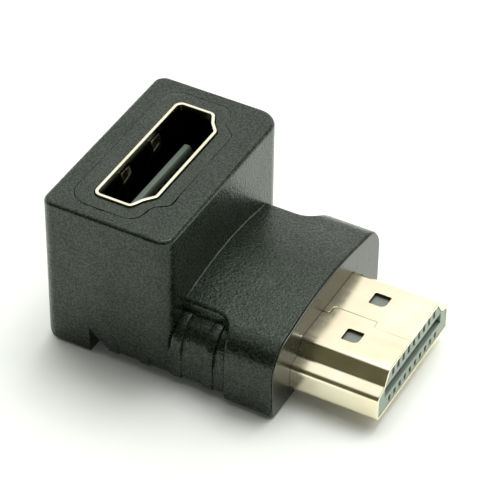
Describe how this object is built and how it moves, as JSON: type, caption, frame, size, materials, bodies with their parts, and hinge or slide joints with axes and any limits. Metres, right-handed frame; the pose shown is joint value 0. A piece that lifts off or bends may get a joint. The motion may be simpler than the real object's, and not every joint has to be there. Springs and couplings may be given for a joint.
{
  "type": "right angle hdmi adapter",
  "caption": "Right angle display adapter: a flat gold plug on one arm and the matching socket on the other, in one black moulded body with a ribbed elbow.",
  "frame": {"origin": "middle of the bounding box in X and Y, on the surface that the adapter stands on in Z", "axes": "+X the way the plug points, +Z the way the socket opens, +Y across the width, in which the body is symmetrical"},
  "size_m": [0.0308, 0.0204, 0.0155],
  "materials": {
    "overmould": "fine spark-eroded grain",
    "inner_moulding": "fine grain",
    "end_plate": "polished",
    "shell_gold": "thin gold plating on folded sheet",
    "contact_gold": "gold plating",
    "insulator": "light grey moulding",
    "board": "solder mask"
  },
  "bodies": {
    "root": {"overmould_body": "overmould", "socket_surround": "inner_moulding", "plug_end_plate": "end_plate", "plug_shell": "shell_gold", "plug_insulator": "insulator", "socket_shell": "shell_gold", "socket_insulator": "insulator", "link_board": "board", "plug_contact_wide_01": "contact_gold", "plug_contact_wide_02": "contact_gold", "plug_contact_wide_03": "contact_gold", "plug_contact_wide_04": "contact_gold", "plug_contact_wide_05": "contact_gold", "plug_contact_wide_06": "contact_gold", "plug_contact_wide_07": "contact_gold", "plug_contact_wide_08": "contact_gold", "plug_contact_wide_09": "contact_gold", "plug_contact_wide_10": "contact_gold", "plug_contact_narrow_01": "contact_gold", "plug_contact_narrow_02": "contact_gold", "plug_contact_narrow_03": "contact_gold", "plug_contact_narrow_04": "contact_gold", "plug_contact_narrow_05": "contact_gold", "plug_contact_narrow_06": "contact_gold", "plug_contact_narrow_07": "contact_gold", "plug_contact_narrow_08": "contact_gold", "plug_contact_narrow_09": "contact_gold", "socket_contact_wide_01": "contact_gold", "socket_contact_wide_02": "contact_gold", "socket_contact_wide_03": "contact_gold", "socket_contact_wide_04": "contact_gold", "socket_contact_wide_05": "contact_gold", "socket_contact_wide_06": "contact_gold", "socket_contact_wide_07": "contact_gold", "socket_contact_wide_08": "contact_gold", "socket_contact_wide_09": "contact_gold", "socket_contact_wide_10": "contact_gold", "socket_contact_narrow_01": "contact_gold", "socket_contact_narrow_02": "contact_gold", "socket_contact_narrow_03": "contact_gold", "socket_contact_narrow_04": "contact_gold", "socket_contact_narrow_05": "contact_gold", "socket_contact_narrow_06": "contact_gold", "socket_contact_narrow_07": "contact_gold", "socket_contact_narrow_08": "contact_gold", "socket_contact_narrow_09": "contact_gold"}
  },
  "joints": []
}
